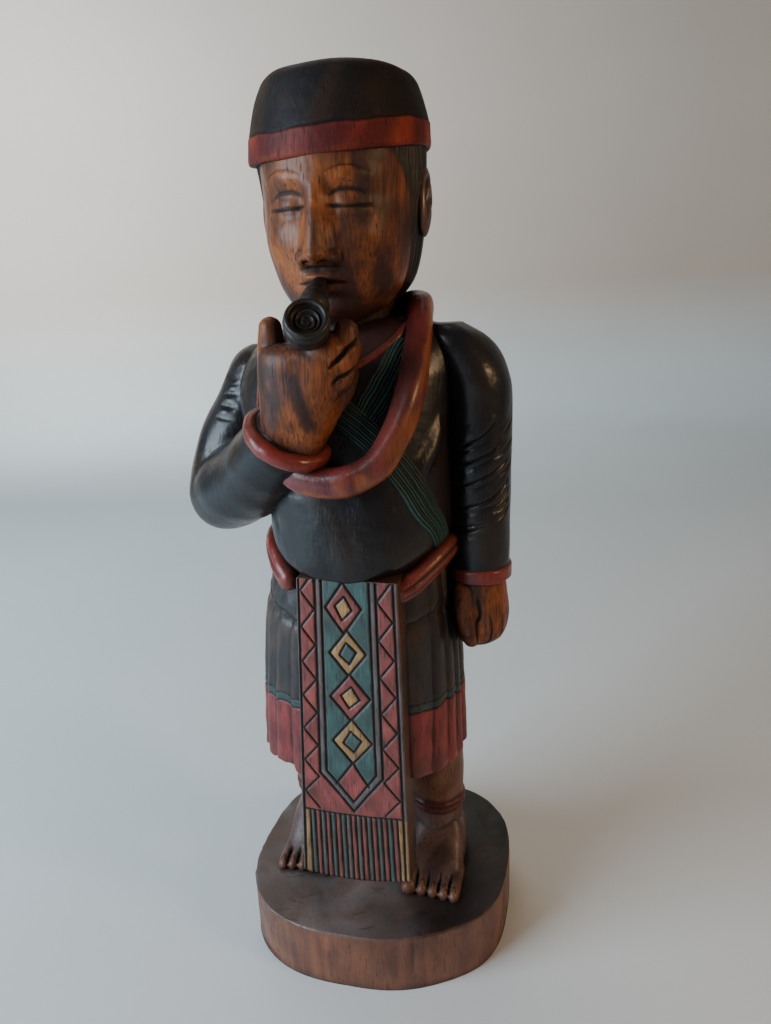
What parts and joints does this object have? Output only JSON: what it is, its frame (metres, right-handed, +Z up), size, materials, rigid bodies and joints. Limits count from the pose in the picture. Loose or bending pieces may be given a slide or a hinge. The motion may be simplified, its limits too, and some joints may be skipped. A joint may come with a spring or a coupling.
{
  "type": "carved wooden figure of a pipe smoker",
  "caption": "Standing carved figure in folk dress with a raised hand at a pipe and a patterned apron, cut with its round base from one log to stand on a floor or shelf.",
  "frame": {"origin": "centre of the base's flat underside", "axes": "+Z up, the figure faces -Y, its left hand is towards +X"},
  "size_m": [0.2191, 0.2078, 0.6],
  "materials": {
    "carved_wood": "stained and painted, waxed"
  },
  "bodies": {
    "root": {"carved_wooden_figure": "carved_wood"}
  },
  "joints": []
}
